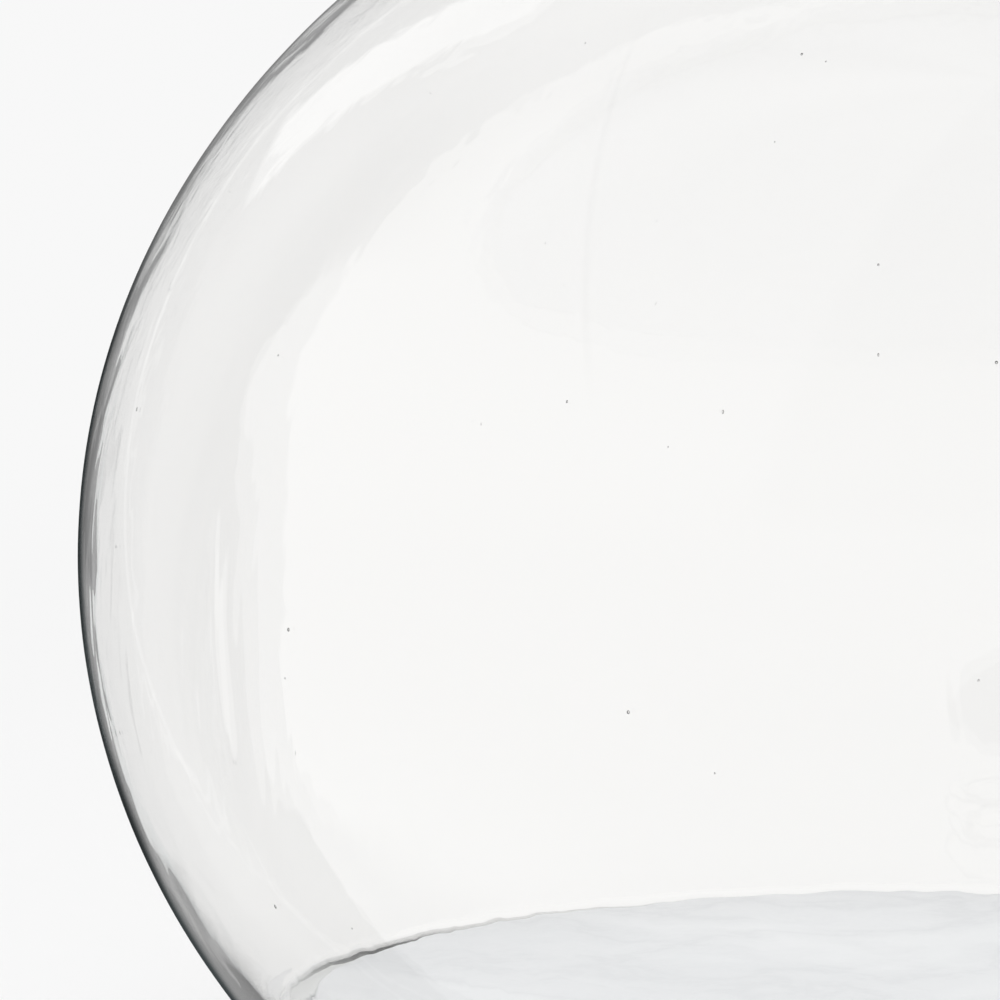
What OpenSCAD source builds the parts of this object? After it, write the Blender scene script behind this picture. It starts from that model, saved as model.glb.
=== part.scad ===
// Glass cloche: a blown glass bell with an applied ball knob, standing on a turned marble base.
// The origin is on the surface that the feet stand on, under the bell's axis. +Z is up, -Y is the front.

/* [Bell] */
// Outer radius of the bell at its widest level
bell_r = 170; // [150:1:190]
// Height of the crown above the widest level
bell_rise = 147; // [130:1:165]
// Depth of the rim below the widest level
rim_drop = 88.9; // [70:0.1:95]
// Wall thickness at the widest level and at the crown
wall = 3; // [2.5:0.1:4]
// How much thinner the wall is halfway from the widest level to the crown, and likewise below it
thinning = 1.1; // [0:0.1:1.2]
// Wall thickness at the rim
rim_wall = 3.6; // [3:0.1:5.5]

/* [Knob] */
// Radius of the collar under the knob
collar_r = 17; // [14:0.5:20]
// Height of the collar
collar_h = 7; // [5:0.5:9]
// Radius of the ball
ball_r = 20; // [17:0.5:24]
// Radius of the neck between collar and ball
neck_r = 9; // [7:0.5:11]
// Height of the neck
neck_h = 4; // [3:0.5:8]

/* [Base] */
// Width of the ledge outside the rim
ledge_w = 5.4; // [4:0.1:20]
// Thickness of the slab at its ledge
slab_h = 18; // [12:1:30]
// Height of the raised centre above the ledge
step_h = 4; // [3:0.5:6]
// Radius that eases the slab's outer edges
edge_r = 2; // [1:0.5:3]
// Gap between the raised centre and the inside of the rim
rim_gap = 1.7; // [1:0.1:3]
// Thickness of the bedding ring
ring_t = 1.2; // [0.8:0.1:2]

/* [Feet] */
// Radius of a foot
foot_r = 12; // [8:1:16]
// Height of a foot
foot_h = 3; // [2:0.5:5]
// Distance of each foot's centre from the slab's edge
foot_inset = 39; // [20:1:50]

/* [Hidden] */
$fn = 128;

glass_colour = [0.86, 0.91, 0.9, 0.35];
marble_colour = [0.9, 0.9, 0.9];
ring_colour = [0.85, 0.85, 0.83];
rubber_colour = [0.2, 0.2, 0.2];

// Levels above the surface that the feet stand on
ledge_z = foot_h + slab_h;
centre_top_z = ledge_z + step_h;
rim_z = ledge_z + ring_t;
belly_z = rim_z + rim_drop;
crown_z = belly_z + bell_rise;
collar_top_z = crown_z + collar_h;
// The ball is centred where it meets the top of the neck
ball_z = collar_top_z + neck_h + sqrt(pow(ball_r, 2) - pow(neck_r, 2));

// Angles on the bell's oval: 0 at the widest level, 90 at the crown
oval_step = 3;
rim_angle = -asin(rim_drop / bell_rise);
// The oval's outline starts a little below the rim, which is then cut flat
start_angle = oval_step * (floor(rim_angle / oval_step) - 1);

// Radii at the rim's flat cut
rim_outer_r = bell_r * cos(rim_angle);
rim_slope = atan2(bell_r * sin(-rim_angle), bell_rise * cos(rim_angle));
rim_inner_r = rim_outer_r - rim_wall / cos(rim_slope);
centre_r = rim_inner_r - rim_gap;
slab_r = rim_outer_r + ledge_w;
// The bedding ring is this much wider than the rim on each side
ring_margin = 0.5;

ease_steps = 6;
centre_edge_r = 1;
foot_edge_r = 1;

// The rim's thickening dies away over a short height: the share left falls with this power of the angle
rim_power = 4;

// Wall thickness at one angle of the oval, before and after the rim's thickening is added
function thin_wall(angle) = wall - thinning * sin(2 * abs(angle));
function wall_at(angle) =
    angle < 0 ? thin_wall(angle) + (rim_wall - thin_wall(rim_angle)) * pow(angle / rim_angle, rim_power)
              : thin_wall(angle);

// A point of the oval, moved inwards by inset, square to the surface
function oval_point(angle, inset) =
    let (across = bell_rise * cos(angle))
    let (up = bell_r * sin(angle))
    let (length = norm([across, up]))
    [bell_r * cos(angle) - inset * across / length,
     belly_z + bell_rise * sin(angle) - inset * up / length];

// Points of a quarter circle about centre, from one angle to the next
function quarter(centre, radius, from) =
    [for (i = [0:ease_steps])
        let (angle = from + 90 * i / ease_steps)
        [centre[0] + radius * cos(angle), centre[1] + radius * sin(angle)]];

// Half of the space inside the oval, with its inset as a share of the local wall
module oval_half(wall_share) {
    side = [for (angle = [start_angle:oval_step:90 - oval_step])
        oval_point(angle, wall_share * wall_at(angle))];
    crown = oval_point(90, wall_share * wall_at(90));
    polygon(concat([[0, side[0][1]]], side, [crown]));
}

module above(z) {
    translate([0, z])
        square([2 * bell_r, 3 * bell_r]);
}

module glass_bell() {
    color(glass_colour)
        rotate_extrude()
            intersection() {
                difference() {
                    oval_half(0);
                    oval_half(1);
                }
                above(rim_z);
            }
}

// A disc of glass with a full round edge, fused to the crown
module knob_collar() {
    edge = collar_h / 2;
    middle = [collar_r - edge, crown_z + edge];
    color(glass_colour)
        rotate_extrude()
            difference() {
                polygon(concat(
                    [[0, crown_z - edge], [middle[0], crown_z - edge]],
                    quarter(middle, edge, -90),
                    quarter(middle, edge, 0),
                    [[0, collar_top_z]]));
                oval_half(0);
            }
}

module glass_knob() {
    color(glass_colour)
        rotate_extrude()
            intersection() {
                union() {
                    translate([0, ball_z])
                        circle(r = ball_r);
                    translate([0, collar_top_z])
                        square([neck_r, ball_z - collar_top_z]);
                }
                above(collar_top_z);
            }
}

// The slab has a ledge round a raised centre, which the rim drops over
module base_slab() {
    color(marble_colour)
        rotate_extrude()
            polygon(concat(
                [[0, foot_h]],
                quarter([slab_r - edge_r, foot_h + edge_r], edge_r, -90),
                quarter([slab_r - edge_r, ledge_z - edge_r], edge_r, 0),
                [[centre_r, ledge_z]],
                quarter([centre_r - centre_edge_r, centre_top_z - centre_edge_r], centre_edge_r, 0),
                [[0, centre_top_z]]));
}

module rim_ring() {
    color(ring_colour)
        translate([0, 0, ledge_z])
            difference() {
                cylinder(h = ring_t, r = rim_outer_r + ring_margin);
                translate([0, 0, -1])
                    cylinder(h = ring_t + 2, r = rim_inner_r - ring_margin);
            }
}

// One bumper foot, at side along X and depth along Y, each -1 or 1
module foot(side, depth) {
    reach = (slab_r - foot_inset) / sqrt(2);
    color(rubber_colour)
        translate([side * reach, depth * reach, 0])
            rotate_extrude()
                polygon(concat(
                    [[0, 0]],
                    quarter([foot_r - foot_edge_r, foot_edge_r], foot_edge_r, -90),
                    [[foot_r, foot_h], [0, foot_h]]));
}

base_slab();
rim_ring();
foot(-1, -1);  // foot_front_left
foot(1, -1);  // foot_front_right
foot(-1, 1);  // foot_back_left
foot(1, 1);  // foot_back_right
glass_bell();
knob_collar();
glass_knob();
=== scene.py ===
"""Looks of the glass cloche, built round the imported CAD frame.

Lengths are metres; +Z is up and -Y the front."""

import math
import random

import bpy
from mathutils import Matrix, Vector, noise


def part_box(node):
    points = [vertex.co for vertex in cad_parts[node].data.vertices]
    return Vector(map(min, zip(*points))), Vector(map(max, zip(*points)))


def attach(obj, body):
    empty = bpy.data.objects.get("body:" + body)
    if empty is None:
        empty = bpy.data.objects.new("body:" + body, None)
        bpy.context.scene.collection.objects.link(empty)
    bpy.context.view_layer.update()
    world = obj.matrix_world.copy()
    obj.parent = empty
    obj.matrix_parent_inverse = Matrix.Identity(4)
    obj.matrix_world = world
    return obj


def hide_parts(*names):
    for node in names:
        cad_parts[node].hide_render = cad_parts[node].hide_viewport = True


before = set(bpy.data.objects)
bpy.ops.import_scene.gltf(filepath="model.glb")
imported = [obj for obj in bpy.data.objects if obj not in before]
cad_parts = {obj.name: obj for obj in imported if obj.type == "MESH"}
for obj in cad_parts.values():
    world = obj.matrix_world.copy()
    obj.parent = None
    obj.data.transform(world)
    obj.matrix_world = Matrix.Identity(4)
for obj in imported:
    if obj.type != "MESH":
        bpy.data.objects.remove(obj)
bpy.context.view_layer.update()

# --- Sizes: the frame's boxes, and the bell's own measures as the CAD part has them ---

bell_low, bell_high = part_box("glass_bell")
slab_low, slab_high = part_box("base_slab")
ring_low, ring_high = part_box("rim_ring")
collar_low, collar_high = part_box("knob_collar")
knob_low, knob_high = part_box("glass_knob")

BELL_R = (bell_high.x - bell_low.x) / 2
RIM_Z = bell_low.z
CROWN_Z = bell_high.z
RIM_DROP = 0.0889
BELLY_Z = RIM_Z + RIM_DROP
RISE = CROWN_Z - BELLY_Z
RIM_ANGLE = -math.asin(RIM_DROP / RISE)

# Wall at the widest level, how much thinner it gets halfway to the crown, and the thicker wall at the rim
WALL = 0.003
THINNING = 0.0011
RIM_WALL = 0.0036
RIM_POWER = 4
RIM_SLOPE = math.atan2(BELL_R * math.sin(-RIM_ANGLE), RISE * math.cos(RIM_ANGLE))
RIM_INNER_R = BELL_R * math.cos(RIM_ANGLE) - RIM_WALL / math.cos(RIM_SLOPE)
# The base's raised centre stands this far inside the rim, and the bedding ring reaches this far inside it
RIM_GAP = 0.0017
RING_MARGIN = 0.0005
# Fused pieces of glass reach this far into each other, so that no film of air shows between them
FUSED = 0.00012

GLASS_IOR = 1.51


# --- Helpers: nodes, materials and turned meshes ---


def node(tree, kind, links=None, **settings):
    """Adds a shader node; links gives each input a value or the socket that drives it."""
    made = tree.nodes.new(kind)
    for key, value in settings.items():
        setattr(made, key, value)
    for key, value in (links or {}).items():
        if isinstance(value, bpy.types.NodeSocket):
            tree.links.new(value, made.inputs[key])
        else:
            made.inputs[key].default_value = value
    return made


def math_node(tree, operation, *values):
    return node(tree, "ShaderNodeMath", dict(enumerate(values)), operation=operation).outputs[0]


def ramp(tree, value, low, high, to_low=0.0, to_high=1.0):
    """A smooth step from to_low to to_high, as value goes from low to high."""
    return node(
        tree,
        "ShaderNodeMapRange",
        {"Value": value, "From Min": low, "From Max": high, "To Min": to_low, "To Max": to_high},
        interpolation_type="SMOOTHSTEP",
    ).outputs["Result"]


def mix_colour(tree, factor, first, second, blend="MIX"):
    made = node(tree, "ShaderNodeMix", {0: factor, 6: first, 7: second}, data_type="RGBA", blend_type=blend)
    return made.outputs[2]


def new_material(name):
    made = bpy.data.materials.new(name)
    made.use_nodes = True
    made.node_tree.nodes.clear()
    return made, made.node_tree


def finish_material(tree, shader):
    node(tree, "ShaderNodeOutputMaterial", {"Surface": shader})


def object_position(tree):
    return node(tree, "ShaderNodeTexCoord").outputs["Object"]


def level_of(tree, where):
    return node(tree, "ShaderNodeSeparateXYZ", {0: where}).outputs[2]


def scaled(tree, vector, scale):
    return node(tree, "ShaderNodeVectorMath", {0: vector, 1: scale}, operation="MULTIPLY").outputs[0]


def noise_value(tree, vector, scale, detail=3.0, roughness=0.5, distortion=0.0):
    links = {"Vector": vector, "Scale": scale, "Detail": detail, "Roughness": roughness}
    links["Distortion"] = distortion
    return node(tree, "ShaderNodeTexNoise", links).outputs["Fac"]


def bump(tree, height, distance, strength=1.0, normal=None):
    links = {"Height": height, "Distance": distance, "Strength": strength}
    if normal is not None:
        links["Normal"] = normal
    return node(tree, "ShaderNodeBump", links).outputs["Normal"]


def principled(tree, colour, roughness, normal):
    links = {"Base Color": colour, "Roughness": roughness, "Normal": normal}
    return node(tree, "ShaderNodeBsdfPrincipled", links).outputs[0]


def new_piece(name, points, faces, materials, slots=None):
    mesh = bpy.data.meshes.new(name)
    mesh.from_pydata(points, [], faces)
    for material in materials:
        mesh.materials.append(material)
    mesh.polygons.foreach_set("use_smooth", [True] * len(mesh.polygons))
    if slots:
        mesh.polygons.foreach_set("material_index", slots)
    mesh.validate()
    mesh.update()
    piece = bpy.data.objects.new(name, mesh)
    bpy.context.scene.collection.objects.link(piece)
    return piece


def turned(outline, columns, place=None, centre=(0.0, 0.0)):
    """Points and faces of an outline turned about Z, with the row of each face.

    The outline runs up the outside, from the axis to the axis or as a loop.
    place(row, around, radius, height) may move a point; around is its angle."""
    points, faces, rows = [], [], []
    index = []
    for row, (radius, height) in enumerate(outline):
        on_axis = radius < 1e-9
        index.append([])
        for column in range(1 if on_axis else columns):
            around = 2 * math.pi * column / columns
            r, z = place(row, around, radius, height) if place else (radius, height)
            index[-1].append(len(points))
            points.append((centre[0] + r * math.cos(around), centre[1] + r * math.sin(around), z))
    open_ends = outline[0][0] < 1e-9
    pairs = len(outline) - 1 if open_ends else len(outline)
    for row in range(pairs):
        low, high = index[row], index[(row + 1) % len(outline)]
        for column in range(columns):
            ahead = (column + 1) % columns
            corners = [low[column % len(low)], low[ahead % len(low)]]
            corners += [high[ahead % len(high)], high[column % len(high)]]
            faces.append(tuple(dict.fromkeys(corners)))
            rows.append(row)
    return points, faces, rows


def arc(centre, radius, start, end, steps):
    """Points of an arc in an outline, with its angles in degrees."""
    turns = [math.radians(start + (end - start) * i / steps) for i in range(steps + 1)]
    return [(centre[0] + radius * math.cos(a), centre[1] + radius * math.sin(a)) for a in turns]


# --- Materials ---

# The streaks' place, round from the front and below the widest level, and how far they reach along X, Y and Z
PATCH_TURN = math.radians(-56)
PATCH_DROP = 0.004
PATCH_SIZE = (0.02, 0.02, 0.06)
STREAK_DEPTH = 0.0008
# The cord's two ends, as degrees round from the front and a height
CORD_START, CORD_END = (-28, BELLY_Z + 0.045), (-37, BELLY_Z + 0.115)
CORD_WIDTH = math.radians(0.5)
CORD_FADE = 0.02
CORD_SHADE = 0.025


def worked_patch(tree, where):
    """Upright streaks in one place at the bell's widest level, fading out all round it."""
    middle = (BELL_R * math.sin(PATCH_TURN), -BELL_R * math.cos(PATCH_TURN), BELLY_Z - PATCH_DROP)
    away = node(tree, "ShaderNodeVectorMath", {0: where, 1: middle}, operation="SUBTRACT").outputs[0]
    away = scaled(tree, away, tuple(1 / size for size in PATCH_SIZE))
    away = node(tree, "ShaderNodeVectorMath", {0: away}, operation="LENGTH").outputs["Value"]
    drawn_out = scaled(tree, where, (1.0, 1.0, 0.16))
    streaks = noise_value(tree, drawn_out, 110.0, detail=1.0, roughness=0.4, distortion=0.6)
    return math_node(tree, "MULTIPLY", streaks, ramp(tree, away, 0.35, 1.0, 1.0, 0.0))


def cord(tree, where):
    """1 on the middle of one thin cord of harder glass, and 0 beside it: where the cord's painted shade goes.
    """
    axes = node(tree, "ShaderNodeSeparateXYZ", {0: where}).outputs
    turn = math_node(tree, "ARCTAN2", axes[0], math_node(tree, "MULTIPLY", axes[1], -1.0))
    path = node(
        tree,
        "ShaderNodeMapRange",
        {"Value": axes[2], "From Min": CORD_START[1], "From Max": CORD_END[1],
         "To Min": math.radians(CORD_START[0]), "To Max": math.radians(CORD_END[0])},
        clamp=False,
    ).outputs["Result"]
    off = math_node(tree, "ABSOLUTE", math_node(tree, "SUBTRACT", turn, path))
    line = ramp(tree, off, 0.0, CORD_WIDTH, 1.0, 0.0)
    starts = ramp(tree, axes[2], CORD_START[1], CORD_START[1] + CORD_FADE)
    ends = ramp(tree, axes[2], CORD_END[1] - CORD_FADE, CORD_END[1], 1.0, 0.0)
    line = math_node(tree, "MULTIPLY", line, starts)
    return math_node(tree, "MULTIPLY", line, ends)


def blown_normal(tree, where, wave, ripple, on_bell, worked):
    """The uneven surface: long waves, and short ripples in patches. At a glancing angle they even out."""
    glance = node(tree, "ShaderNodeLayerWeight", {"Blend": 0.5}).outputs["Facing"]
    waves = noise_value(tree, where, 45.0, detail=2.0, roughness=0.45)
    patches = ramp(tree, noise_value(tree, where, 13.0, detail=1.0, roughness=0.5), 0.42, 0.6)
    drawn_out = scaled(tree, where, (1.0, 1.0, 0.28))
    ripples = noise_value(tree, drawn_out, 160.0, detail=1.0, roughness=0.5, distortion=0.5)
    ripples = math_node(tree, "MULTIPLY", ripples, patches)
    if on_bell:
        calmer = ramp(tree, level_of(tree, where), BELLY_Z - 0.04, BELLY_Z - 0.015, 0.3, 1.0)
        ripples = math_node(tree, "MULTIPLY", ripples, calmer)
    normal = bump(tree, waves, wave, ramp(tree, glance, 0.5, 0.65, 1.0, 0.4))
    normal = bump(tree, ripples, ripple, ramp(tree, glance, 0.48, 0.62, 1.0, 0.03), normal)
    if worked:
        streaks = worked_patch(tree, where)
        normal = bump(tree, streaks, STREAK_DEPTH, ramp(tree, glance, 0.52, 0.66, 1.0, 0.03), normal)
    return normal


# Between these two heights the bell's dark edge, a painted shade, clears
CLEARS_FROM, CLEAR_AT = BELLY_Z + 0.03, BELLY_Z + 0.08


def bell_edge_shade(tree, facing, height):
    """How far a spot takes the painted shade of the dark edge: broader low down, all but gone at the shoulder
    and rim.
    """
    start = ramp(tree, height, CLEARS_FROM - 0.04, CLEARS_FROM, 0.86, 0.895)
    edge = ramp(tree, facing, start, 0.94)
    edge = math_node(tree, "MULTIPLY", edge, ramp(tree, height, CLEARS_FROM, CLEAR_AT, 1.0, 0.08))
    return math_node(tree, "MULTIPLY", edge, ramp(tree, height, RIM_Z + 0.002, RIM_Z + 0.008, 0.1, 1.0))


def bell_kept(tree, height, kept):
    """The share kept of what the bell mirrors: as given round the belly, more at the shoulder and rim."""
    above = ramp(tree, height, CLEARS_FROM, CLEAR_AT, kept, 0.85)
    below = ramp(tree, height, RIM_Z + 0.01, RIM_Z + 0.047, 0.95, kept)
    return math_node(tree, "MAXIMUM", above, below)


def glass_material(name, tint, painted_edge_shade, kept, wave, ripple, on_bell=True, worked=False):
    """Clear blown glass: it bends and mirrors as glass does, but keeps only a share of what it mirrors.

    kept is that share, which darkens the wall where it is seen edge on. The edge colour is painted shade, laid
    on the last of the surface before it turns away. wave and ripple are the depths of the long waves and of
    the short ripples.
    on_bell makes the edge and the share change with height, and worked adds the streaks and the cord's painted
    shade."""
    material, tree = new_material(name)
    where = object_position(tree)
    normal = blown_normal(tree, where, wave, ripple, on_bell, worked)
    mirrored = node(tree, "ShaderNodeFresnel", {"IOR": GLASS_IOR, "Normal": normal}).outputs[0]
    facing = node(tree, "ShaderNodeLayerWeight", {"Blend": 0.5, "Normal": normal}).outputs["Facing"]
    if on_bell:
        height = level_of(tree, where)
        edge = bell_edge_shade(tree, facing, height)
        kept = bell_kept(tree, height, kept)
    else:
        edge = ramp(tree, facing, 0.5, 0.95)
    mirrored = math_node(tree, "MINIMUM", mirrored, kept)
    # Painted shade: a dark grey-green colour where the wall is seen edge on, in place of the dark band that
    # mirroring inside the wall shows
    passed = mix_colour(tree, edge, tint, painted_edge_shade)
    # Painted shade: a faint grey line laid along the cord, in place of the light the cord bends
    if worked:
        darker = math_node(tree, "MULTIPLY", cord(tree, where), CORD_SHADE)
        passed = mix_colour(tree, darker, passed, (0.1, 0.1, 0.1, 1))
    # Painted shade: the same dark edge colour dims what is mirrored there
    shine = mix_colour(tree, edge, (1, 1, 1, 1), painted_edge_shade)
    links = {"Color": passed, "Roughness": 0.0, "IOR": GLASS_IOR, "Normal": normal}
    bent = node(tree, "ShaderNodeBsdfRefraction", links).outputs[0]
    links = {"Color": shine, "Roughness": 0.0, "Normal": normal}
    gloss = node(tree, "ShaderNodeBsdfAnisotropic", links).outputs[0]
    glass = node(tree, "ShaderNodeMixShader", {0: mirrored, 1: bent, 2: gloss}).outputs[0]
    # Lamps and bounced light pass straight through, a little less where the wall is seen edge on
    path = node(tree, "ShaderNodeLightPath")
    lamp_ray = math_node(tree, "MAXIMUM", path.outputs["Is Shadow Ray"], path.outputs["Is Diffuse Ray"])
    shade = ramp(tree, facing, 0.3, 0.95, 0.985, 0.78)
    clear = node(tree, "ShaderNodeBsdfTransparent", {"Color": shade}).outputs[0]
    finish_material(tree, node(tree, "ShaderNodeMixShader", {0: lamp_ray, 1: glass, 2: clear}).outputs[0])
    return material


def marble_material():
    """Honed white marble with soft grey veins and a few fine darker ones."""
    material, tree = new_material("honed_marble")
    where = object_position(tree)
    drift = node(
        tree, "ShaderNodeTexNoise", {"Vector": where, "Scale": 6.0, "Detail": 4.0, "Roughness": 0.55}
    ).outputs["Color"]
    drift = scaled(tree, drift, (0.16, 0.16, 0.16))
    moved = node(tree, "ShaderNodeVectorMath", {0: where, 1: drift}, operation="ADD").outputs[0]
    broad = noise_value(tree, scaled(tree, moved, (1.0, 1.7, 1.0)), 7.0, detail=6.0, roughness=0.55)
    clouds = ramp(tree, broad, 0.38, 0.72)
    vein = noise_value(tree, scaled(tree, moved, (1.0, 2.0, 1.3)), 9.0, detail=8.0, roughness=0.6)
    ridge = math_node(tree, "ABSOLUTE", math_node(tree, "SUBTRACT", vein, 0.5))
    fine = ramp(tree, ridge, 0.0, 0.022, 1.0, 0.0)
    soft = ramp(tree, ridge, 0.0, 0.11, 1.0, 0.0)
    colour = mix_colour(tree, clouds, (0.825, 0.838, 0.852, 1), (0.77, 0.786, 0.803, 1))
    colour = mix_colour(tree, math_node(tree, "MULTIPLY", soft, 0.24), colour, (0.62, 0.635, 0.655, 1))
    colour = mix_colour(tree, math_node(tree, "MULTIPLY", fine, 0.1), colour, (0.45, 0.465, 0.49, 1))
    grain = noise_value(tree, where, 900.0, detail=3.0, roughness=0.6)
    roughness = ramp(tree, grain, 0.3, 0.7, 0.3, 0.42)
    normal = bump(tree, grain, 0.00002)
    finish_material(tree, principled(tree, colour, roughness, normal))
    return material


def soft_ring_material():
    """Translucent silicone, slightly dusty."""
    material, tree = new_material("bedding_silicone")
    where = object_position(tree)
    cloud = noise_value(tree, where, 60.0, detail=4.0, roughness=0.6)
    colour = mix_colour(tree, cloud, (0.72, 0.73, 0.72, 1), (0.82, 0.83, 0.82, 1))
    normal = bump(tree, noise_value(tree, where, 700.0), 0.00003)
    finish_material(tree, principled(tree, colour, ramp(tree, cloud, 0.3, 0.7, 0.45, 0.6), normal))
    return material


def bumper_material():
    """Dark moulded rubber with a fine matte texture."""
    material, tree = new_material("bumper_rubber")
    where = object_position(tree)
    dust = noise_value(tree, where, 120.0, detail=4.0, roughness=0.6)
    colour = mix_colour(tree, dust, (0.016, 0.016, 0.017, 1), (0.04, 0.04, 0.042, 1))
    normal = bump(tree, noise_value(tree, where, 1500.0, detail=2.0), 0.00005)
    finish_material(tree, principled(tree, colour, ramp(tree, dust, 0.3, 0.7, 0.6, 0.78), normal))
    return material


# --- The bell ---

OVAL_ROWS = 132
BELL_COLUMNS = 320
RIM_STEPS = 6
RIM_SWELL = 0.42


def thin_wall(angle):
    return WALL - THINNING * math.sin(2 * abs(angle))


def wall_at(angle):
    """Thickness of the wall at an angle of the oval, with its thickening towards the rim."""
    if angle < 0:
        return thin_wall(angle) + (RIM_WALL - thin_wall(RIM_ANGLE)) * (angle / RIM_ANGLE) ** RIM_POWER
    return thin_wall(angle)


def oval_frame(angle):
    """A point of the bell's outer oval and the way out of the glass there, both as (radius, height)."""
    across, up = RISE * math.cos(angle), BELL_R * math.sin(angle)
    length = math.hypot(across, up)
    point = (BELL_R * math.cos(angle), BELLY_Z + RISE * math.sin(angle))
    return point, (across / length, up / length)


def blown_wave(angle, around, scale, stretch, seed):
    """Smooth noise from -1 to 1 on the bell's surface, drawn out along its height by stretch."""
    level = math.cos(angle)
    spot = Vector((level * math.cos(around), level * math.sin(around), math.sin(angle) / stretch))
    return noise.noise(spot * scale + Vector((seed, 2.0 * seed, 3.0 * seed)))


def outer_sag(angle, around):
    """How far the outside lies below the true oval: never above it, so that the bell keeps its size."""
    slow = blown_wave(angle, around, 2.3, 1.0, 11.3)
    quick = blown_wave(angle, around, 8.5, 1.5, 4.7)
    fine = blown_wave(angle, around, 21.0, 1.6, 7.9)
    return 0.00015 * (1 - slow) + 0.00004 * (1 - quick) + 0.000012 * (1 - fine)


def inner_wave(angle, around):
    """How much thicker or thinner than wall_at the wall is."""
    slow = blown_wave(angle, around, 2.9, 1.0, 23.1)
    quick = blown_wave(angle, around, 10.0, 1.8, 31.7)
    fine = blown_wave(angle, around, 26.0, 2.0, 17.3)
    return 0.00014 * slow + 0.00004 * quick + 0.000012 * fine


def bell_rows():
    """Rows of the bell down the inside, round the rim and up the outside, as (angle, share of the wall)."""
    angles = [math.pi / 2 + (RIM_ANGLE - math.pi / 2) * i / OVAL_ROWS for i in range(OVAL_ROWS + 1)]
    rim = [(RIM_ANGLE, 1 - i / RIM_STEPS) for i in range(1, RIM_STEPS)]
    return [(a, 1.0) for a in angles] + rim + [(a, 0.0) for a in reversed(angles)]


def bell_point(angle, share, around):
    """Where the glass lies at an angle of the oval, a share of the way through the wall, round the axis."""
    point, out = oval_frame(angle)
    wall = wall_at(angle) + inner_wave(angle, around)
    depth = outer_sag(angle, around) + share * wall
    r, z = point[0] - depth * out[0], point[1] - depth * out[1]
    if angle == RIM_ANGLE:
        # The rim is fire polished: its middle swells down, and it rests level on the ring
        z -= RIM_SWELL * wall * math.sin(math.pi * share)
    return r, z


SEED_COUNT = 70
SEED_SIZES = (0.0001, 0.00013, 0.00016, 0.0002, 0.00028)
SEED_RINGS, SEED_SIDES = 5, 8


def seeds(rng):
    """Points and faces of small bubbles in the wall, drawn out along the bell's height.

    The faces look into the bubbles, since the glass is outside them."""
    points, faces = [], []
    for _ in range(SEED_COUNT):
        angle = math.asin(rng.uniform(math.sin(RIM_ANGLE) * 0.9, 0.97))
        around = rng.uniform(0, 2 * math.pi)
        size = rng.choice(SEED_SIZES)
        long = size * rng.uniform(1.0, 2.0)
        point, out = oval_frame(angle)
        depth = outer_sag(angle, around) + wall_at(angle) * rng.uniform(0.4, 0.6)
        radius = point[0] - depth * out[0]
        middle = Vector((radius * math.cos(around), radius * math.sin(around), point[1] - depth * out[1]))
        normal = Vector((out[0] * math.cos(around), out[0] * math.sin(around), out[1]))
        side = Vector((-math.sin(around), math.cos(around), 0.0))
        along = normal.cross(side)
        start = len(points)
        points.append(middle + along * long)
        for ring in range(1, SEED_RINGS + 1):
            lean = math.pi * ring / (SEED_RINGS + 1)
            for b in range(SEED_SIDES):
                turn = 2 * math.pi * b / SEED_SIDES
                outwards = side * math.cos(turn) + normal * math.sin(turn)
                points.append(middle + along * (long * math.cos(lean)) + outwards * (size * math.sin(lean)))
        points.append(middle - along * long)
        last = len(points) - 1
        for b in range(SEED_SIDES):
            ahead = (b + 1) % SEED_SIDES
            faces.append((start, start + 1 + b, start + 1 + ahead))
            faces.append((last, last - SEED_SIDES + ahead, last - SEED_SIDES + b))
            for ring in range(SEED_RINGS - 1):
                first = start + 1 + SEED_SIDES * ring
                above = first + SEED_SIDES
                faces.append((first + b, above + b, above + ahead, first + ahead))
    return points, faces


def glass_bell(outside, inside):
    """The blown bell: one closed wall with a polished rim, and the seeds in it."""
    rows = bell_rows()

    def place(row, around, radius, height):
        angle, share = rows[row]
        return bell_point(angle, share, around)

    outline = [(0.0 if abs(a - math.pi / 2) < 1e-9 else 1.0, 0.0) for a, _ in rows]
    points, faces, face_rows = turned(outline, BELL_COLUMNS, place)
    last_inner = OVAL_ROWS + RIM_STEPS // 2
    slots = [1 if row < last_inner else 0 for row in face_rows]
    bubble_points, bubble_faces = seeds(random.Random(5))
    base = len(points)
    points += [tuple(p) for p in bubble_points]
    faces += [tuple(base + i for i in face) for face in bubble_faces]
    slots += [1] * len(bubble_faces)
    piece = new_piece("blown_bell", points, faces, [outside, inside], slots)
    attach(piece, "bell")
    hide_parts("glass_bell")
    return piece


# --- Collar and knob ---

KNOB_COLUMNS = 96


def wobble(seed, depth):
    """A place function for turned() that makes a hand-shaped piece slightly out of round."""
    def place(row, around, radius, height):
        spot = Vector((math.cos(around), math.sin(around), height * 30.0)) * 0.9
        return radius * (1 - depth * (0.5 + 0.5 * noise.noise(spot + Vector((seed, seed, seed))))), height
    return place


def knob_collar(glass):
    """A disc of glass laid on the crown, its edge full and round, its underside on the bell's own curve."""
    outer_r = (collar_high.x - collar_low.x) / 2
    top = collar_high.z
    half = (top - CROWN_Z) / 2
    middle = (outer_r - half, CROWN_Z + half)
    under = []
    for i in range(13):
        radius = (outer_r - half) * i / 12
        angle = math.acos(radius / BELL_R)
        under.append((radius, BELLY_Z + RISE * math.sin(angle) - FUSED - outer_sag(angle, 0.0)))
    outline = under + arc(middle, half, -78, 84, 18)
    outline += [(middle[0] * (1 - i / 6), top) for i in range(1, 7)]
    points, faces, _ = turned(outline, KNOB_COLUMNS, wobble(seed=2.2, depth=0.02))
    piece = new_piece("glass_collar", points, faces, [glass])
    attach(piece, "bell")
    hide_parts("knob_collar")
    return piece


NECK_WAIST_R = 0.0085
NECK_FOOT_R = 0.0115
NECK_WAIST_UP = 0.0035
NECK_STEPS = 10
BALL_STEPS = 40


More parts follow.
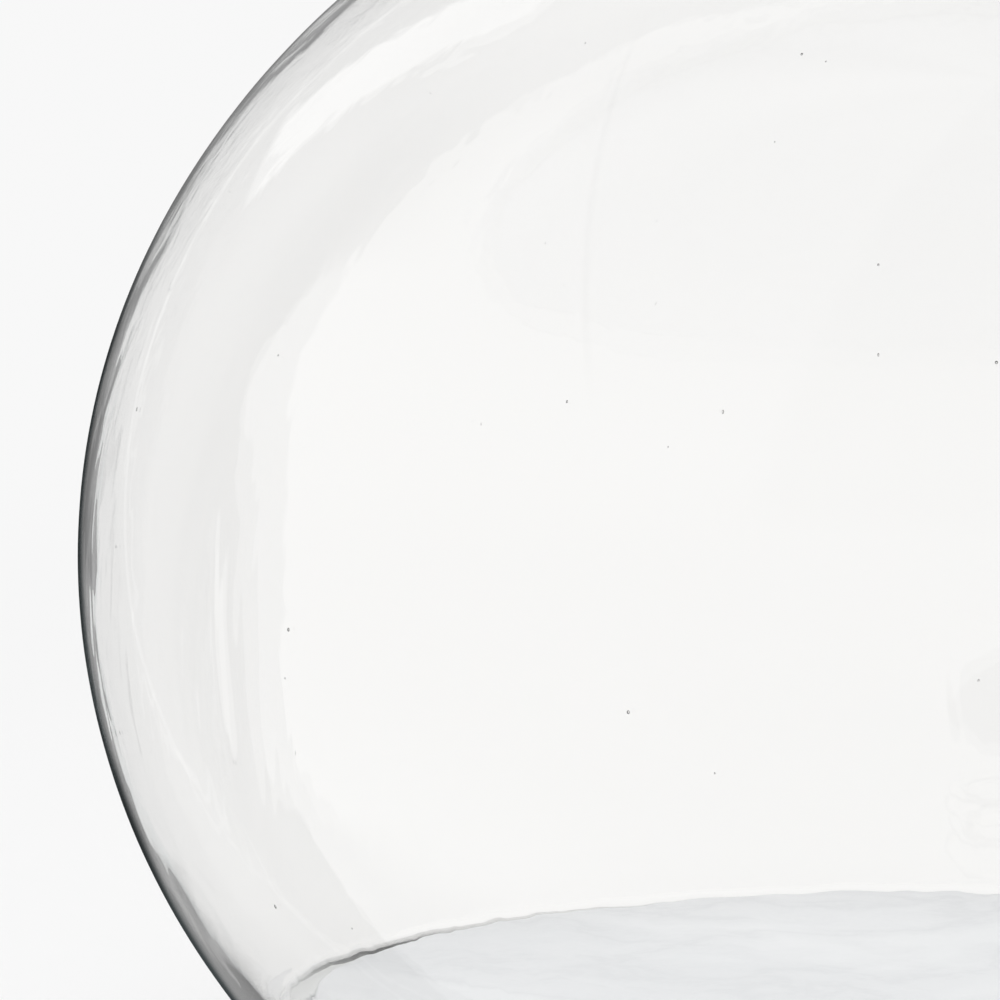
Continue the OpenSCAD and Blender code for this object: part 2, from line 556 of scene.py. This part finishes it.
def knob_neck(base_z, top):
    """The neck's outline: out at its foot, in at its waist, and out again to top, where it meets the ball."""
    waist_z = base_z + NECK_WAIST_UP
    neck = []
    for i in range(NECK_STEPS + 1):
        z = base_z + (top[1] - base_z) * i / NECK_STEPS
        if z < waist_z:
            lift = (z - base_z) / (waist_z - base_z)
            r = NECK_WAIST_R + (NECK_FOOT_R - NECK_WAIST_R) * (1 - lift) ** 2
        else:
            lift = (z - waist_z) / (top[1] - waist_z)
            r = NECK_WAIST_R + (top[0] - NECK_WAIST_R) * lift ** 2
        neck.append((r, z))
    return neck


def glass_knob(glass):
    """A solid ball, drawn down to a short waisted neck that spreads where it meets the collar."""
    ball_r = (knob_high.x - knob_low.x) / 2
    ball_z = knob_high.z - ball_r
    base_z = collar_high.z - FUSED
    leave = math.asin(NECK_WAIST_R / ball_r) + math.radians(9)
    outline = [(0.0, base_z), (NECK_FOOT_R * 0.5, base_z)]
    outline += knob_neck(base_z, (ball_r * math.sin(leave), ball_z - ball_r * math.cos(leave)))
    for i in range(1, BALL_STEPS):
        a = leave + (math.pi - leave) * i / BALL_STEPS
        outline.append((ball_r * math.sin(a), ball_z - ball_r * math.cos(a)))
    outline.append((0.0, knob_high.z))
    points, faces, _ = turned(outline, KNOB_COLUMNS, wobble(seed=5.1, depth=0.018))
    piece = new_piece("ball_knob", points, faces, [glass])
    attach(piece, "bell")
    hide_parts("glass_knob")
    return piece


# --- Base ---

BASE_COLUMNS = 192
FOOT_COLUMNS = 64
SLAB_EASE = 0.002
CENTRE_EASE = 0.001
# How far the corner between the ledge and the raised centre is filled
LEDGE_CORNER = 0.0004


def marble_base(marble):
    """The slab: eased edges, a ledge for the rim and a raised centre that locates it."""
    slab_r = (slab_high.x - slab_low.x) / 2
    ledge_z = ring_low.z
    centre_r = RIM_INNER_R - RIM_GAP
    outline = [(0.0, slab_low.z), (slab_r * 0.5, slab_low.z)]
    outline += arc((slab_r - SLAB_EASE, slab_low.z + SLAB_EASE), SLAB_EASE, -90, 0, 8)
    outline += arc((slab_r - SLAB_EASE, ledge_z - SLAB_EASE), SLAB_EASE, 0, 90, 8)
    outline += [(centre_r + LEDGE_CORNER, ledge_z), (centre_r, ledge_z + LEDGE_CORNER)]
    outline += arc((centre_r - CENTRE_EASE, slab_high.z - CENTRE_EASE), CENTRE_EASE, 0, 90, 6)
    outline += [(centre_r * 0.5, slab_high.z), (0.0, slab_high.z)]
    points, faces, _ = turned(outline, BASE_COLUMNS)
    piece = new_piece("marble_base", points, faces, [marble])
    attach(piece, "base")
    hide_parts("base_slab")
    return piece


def bedding_ring(silicone):
    """The soft ring in the ledge, with rounded edges."""
    outer_r = (ring_high.x - ring_low.x) / 2
    inner_r = RIM_INNER_R - RING_MARGIN
    low, high = ring_low.z, ring_high.z
    round_r = (high - low) * 0.4
    outline = arc((inner_r + round_r, low + round_r), round_r, 180, 270, 4)
    outline += arc((outer_r - round_r, low + round_r), round_r, -90, 0, 4)
    outline += arc((outer_r - round_r, high - round_r), round_r, 0, 90, 4)
    outline += arc((inner_r + round_r, high - round_r), round_r, 90, 180, 4)
    points, faces, _ = turned(outline, BASE_COLUMNS)
    piece = new_piece("bedding_ring", points, faces, [silicone])
    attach(piece, "base")
    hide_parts("rim_ring")
    return piece


TREAD_DISH = 0.0004
TREAD_EDGE = 0.0012
BUMPER_DRAFT = 0.0006
BUMPER_LIP = 0.0003


def bumper_foot(place_name, rubber):
    """A moulded bumper that tapers to its tread, which has a shallow dish."""
    low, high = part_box("foot_" + place_name)
    centre = ((low.x + high.x) / 2, (low.y + high.y) / 2)
    r, h = (high.x - low.x) / 2, high.z - low.z
    outline = [(0.0, low.z + TREAD_DISH), (r * 0.35, low.z + TREAD_DISH), (r * 0.5, low.z)]
    outline += arc((r - BUMPER_DRAFT - TREAD_EDGE, low.z + TREAD_EDGE), TREAD_EDGE, -90, -20, 5)
    outline += [(r - BUMPER_DRAFT / 3, low.z + h * 0.72)]
    outline += [(r, high.z - BUMPER_LIP), (r - BUMPER_LIP, high.z), (0.0, high.z)]
    points, faces, _ = turned(outline, FOOT_COLUMNS, None, centre)
    piece = new_piece("bumper_" + place_name, points, faces, [rubber])
    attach(piece, "base")
    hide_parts("foot_" + place_name)
    return piece


# --- Floor, light and camera ---

BACKDROP = 0.939
SKY_LOW, SKY_HIGH = 0.65, 1.03
# The floor fades into the backdrop from one of these distances to the other
FLOOR_FADE = (0.3, 0.9)
FLOOR_R = 12.0


def floor():
    """A pale floor that fades into the backdrop's brightness. Mirrored rays pass it and meet the studio."""
    material, tree = new_material("pale_floor")
    where = object_position(tree)
    mottled = noise_value(tree, where, 9.0, detail=3.0, roughness=0.5)
    colour = mix_colour(tree, mottled, (0.885, 0.885, 0.885, 1), (0.9, 0.9, 0.9, 1))
    normal = bump(tree, noise_value(tree, where, 400.0), 0.00002)
    solid = principled(tree, colour, 0.6, normal)
    glow = node(tree, "ShaderNodeEmission", {"Color": (BACKDROP, BACKDROP, BACKDROP, 1)}).outputs[0]
    away = node(tree, "ShaderNodeVectorMath", {0: where}, operation="LENGTH").outputs["Value"]
    fade = ramp(tree, away, FLOOR_FADE[0], FLOOR_FADE[1], 0.0, 0.98)
    seen = node(tree, "ShaderNodeMixShader", {0: fade, 1: solid, 2: glow}).outputs[0]
    mirrored = math_node(tree, "MINIMUM", node(tree, "ShaderNodeLightPath").outputs["Glossy Depth"], 1.0)
    clear = node(tree, "ShaderNodeBsdfTransparent").outputs[0]
    finish_material(tree, node(tree, "ShaderNodeMixShader", {0: mirrored, 1: seen, 2: clear}).outputs[0])
    points, faces, _ = turned([(0.0, 0.0), (0.5, 0.0), (FLOOR_R, 0.0)], 96)
    piece = new_piece("floor", points, faces, [material])


def angle_band(tree, value, centre, half, soft, power):
    """power where an angle is within half of centre, fading to 0 over soft.

    centre, half and soft are in degrees."""
    off = math_node(tree, "ABSOLUTE", math_node(tree, "SUBTRACT", value, math.radians(centre)))
    return ramp(tree, off, math.radians(half), math.radians(half + soft), power, 0.0)


def angle_step(tree, value, low, high, to_low, to_high):
    """A smooth step as an angle goes from low to high, in degrees."""
    return ramp(tree, value, math.radians(low), math.radians(high), to_low, to_high)


def added(tree, *values):
    total = values[0]
    for value in values[1:]:
        total = math_node(tree, "ADD", total, value)
    return total


def times(tree, *values):
    product = values[0]
    for value in values[1:]:
        product = math_node(tree, "MULTIPLY", product, value)
    return product


def pale_sides(tree, off_back, lift, front_only):
    """Pale sides that brighten high up, with a dark gap behind the object that closes high up and low down."""
    gap = times(
        tree,
        angle_step(tree, off_back, 8, 24, -0.5, 0.0),
        angle_step(tree, lift, -6, 6, 1.0, 0.1),
        front_only,
        angle_step(tree, lift, -26, -13, 0.1, 1.0),
    )
    sides = angle_step(tree, off_back, 45, 62, 0.75, 0.57)
    towards_back = angle_step(tree, off_back, 60, 100, 1.0, 0.0)
    high = times(tree, angle_step(tree, lift, 28, 52, 0.0, 0.3), towards_back)
    return added(tree, gap, sides, high)


def front_screen(tree, off_back, lift):
    """A white screen that fills the front. Its upright edge leans back at the top, and blurs higher up."""
    across = added(tree, off_back, angle_step(tree, lift, -6, 14, 0.0, math.radians(10)))
    edge_from = angle_step(tree, lift, 22, 38, math.radians(72), math.radians(60))
    edge_to = angle_step(tree, lift, 22, 38, math.radians(72.6), math.radians(96))
    return ramp(tree, across, edge_from, edge_to, 0.0, 0.43)


def camera_shade(tree, off_back, lift):
    """The dark shape of the camera on its stand, low at the front."""
    wide = math_node(tree, "DIVIDE", math_node(tree, "SUBTRACT", math.pi, off_back), math.radians(9))
    tall = math_node(tree, "DIVIDE", added(tree, lift, math.radians(8)), math.radians(7))
    around = math_node(tree, "SQRT", added(tree, times(tree, wide, wide), times(tree, tall, tall)))
    return ramp(tree, around, 0.94, 1.0, -0.5, 0.0)


def studio_level(tree, turn, lift):
    """How bright the studio is in a direction, given as its angle from straight behind and its height."""
    off_back = math_node(tree, "ABSOLUTE", turn)
    # 1 for what the near wall mirrors, and 0 for what comes by way of the far wall
    crossed = node(tree, "ShaderNodeLightPath").outputs["Transmission Depth"]
    front_only = ramp(tree, crossed, 2.4, 2.6, 1.0, 0.0)
    level = added(tree, pale_sides(tree, off_back, lift, front_only), front_screen(tree, off_back, lift))
    # The ceiling is dimmer, most of all over the front
    ceiling = angle_step(tree, lift, 20, 60, 0.0, -0.18)
    over_front = times(
        tree, angle_step(tree, off_back, 144, 150, 0.0, -0.12), angle_step(tree, lift, 16, 22, 0.0, 1.0))
    details = times(tree, added(tree, over_front, camera_shade(tree, off_back, lift)), front_only)
    # A thin leaning gap between two side panels, and a strip light high behind on the left
    lean = math_node(tree, "SUBTRACT", math_node(tree, "MULTIPLY", lift, 0.65), turn)
    slit = angle_band(tree, lean, 35, 0.3, 0.5, 0.2)
    strip = times(tree, angle_band(tree, turn, -33, 4, 1, 0.4), angle_band(tree, lift, 28, 12, 1, 1.0))
    return added(tree, level, ceiling, details, slit, strip)


def studio():
    """The surroundings. The even backdrop is what shows straight on and through the glass.

    Mirrored rays meet the studio round it, and matte surfaces are lit by a plain pale sky."""
    world = bpy.data.worlds.new("studio")
    bpy.context.scene.world = world
    world.use_nodes = True
    tree = world.node_tree
    tree.nodes.clear()
    way = node(tree, "ShaderNodeTexCoord").outputs["Generated"]
    axes = node(tree, "ShaderNodeSeparateXYZ", {0: way})
    turn = math_node(tree, "ARCTAN2", axes.outputs[0], axes.outputs[1])
    lift = math_node(tree, "ARCSINE", axes.outputs[2])
    level = studio_level(tree, turn, lift)
    path = node(tree, "ShaderNodeLightPath").outputs
    sky = ramp(tree, lift, math.radians(-10), math.radians(90), SKY_LOW, SKY_HIGH)
    mirrored = math_node(tree, "MINIMUM", added(tree, path["Is Glossy Ray"], path["Glossy Depth"]), 1.0)
    around = mix_colour(tree, mirrored, sky, level)
    straight = math_node(tree, "MAXIMUM", path["Is Camera Ray"], path["Is Transmission Ray"])
    bounced = added(tree, path["Glossy Depth"], path["Diffuse Depth"])
    straight = math_node(tree, "GREATER_THAN", math_node(tree, "SUBTRACT", straight, bounced), 0.5)
    colour = mix_colour(tree, straight, around, (BACKDROP, BACKDROP, BACKDROP, 1))
    background = node(tree, "ShaderNodeBackground", {"Color": colour, "Strength": 1.0}).outputs[0]
    node(tree, "ShaderNodeOutputWorld", {"Surface": background})


def soft_lamp():
    """A large soft light overhead, which only lights: it isn't seen in the glass."""
    lamp = bpy.data.lights.new("overhead", "AREA")
    lamp.shape = "DISK"
    lamp.size = 1.4
    lamp.energy = 9.0
    holder = bpy.data.objects.new("overhead", lamp)
    holder.location = (-0.35, -0.25, 1.7)
    aim = Vector((0, 0, 0.1)) - holder.location
    holder.rotation_euler = aim.to_track_quat("-Z", "Y").to_euler()
    holder.visible_camera = False
    holder.visible_glossy = False
    holder.visible_transmission = False
    bpy.context.scene.collection.objects.link(holder)


VIEW_WIDTH = 0.1842
VIEW_LIFT = math.radians(8.9)
VIEW_DISTANCE = 2.0
VIEW_ABOVE_BELLY = 0.0104
SENSOR_MM = 36.0


def camera():
    """A long lens on the bell's left half, looking along +Y and slightly down."""
    lens = bpy.data.cameras.new("camera")
    lens.sensor_width = SENSOR_MM
    lens.lens = SENSOR_MM * VIEW_DISTANCE / VIEW_WIDTH
    lens.clip_start, lens.clip_end = 0.05, 50.0
    target = Vector((-VIEW_WIDTH / 2, 0.0, BELLY_Z + VIEW_ABOVE_BELLY))
    back = Vector((0.0, -math.cos(VIEW_LIFT), math.sin(VIEW_LIFT)))
    holder = bpy.data.objects.new("camera", lens)
    holder.location = target + back * VIEW_DISTANCE
    holder.rotation_euler = (-back).to_track_quat("-Z", "Y").to_euler()
    bpy.context.scene.collection.objects.link(holder)
    bpy.context.scene.camera = holder


def picture_settings():
    """Enough bounces for light to cross the bell's four glass surfaces and the knob's."""
    scene = bpy.context.scene
    scene.view_settings.view_transform = "Standard"
    scene.cycles.max_bounces = 24
    scene.cycles.transmission_bounces = 24
    scene.cycles.glossy_bounces = 12
    scene.cycles.transparent_max_bounces = 24


camera()
picture_settings()
studio()
soft_lamp()
floor()

CLEAR = (0.999, 0.998, 0.995, 1)
# The dark colour after each glass's tint is painted shade, laid where that glass is seen edge on
outside_glass = glass_material(
    "blown_glass_outside", CLEAR, (0.24, 0.285, 0.295, 1),
    kept=0.36, wave=0.00008, ripple=0.00008, worked=True)
inside_glass = glass_material(
    "blown_glass_inside", CLEAR, (0.9, 0.92, 0.92, 1), kept=0.36, wave=0.00008, ripple=0.00004)
knob_glass = glass_material(
    "applied_glass", (0.985, 0.988, 0.986, 1), (0.27, 0.3, 0.3, 1),
    kept=0.45, wave=0.00003, ripple=0.0, on_bell=False)

glass_bell(outside_glass, inside_glass)
knob_collar(knob_glass)
glass_knob(knob_glass)
marble_base(marble_material())
bedding_ring(soft_ring_material())
rubber = bumper_material()
for corner in ("front_left", "front_right", "back_left", "back_right"):
    bumper_foot(corner, rubber)
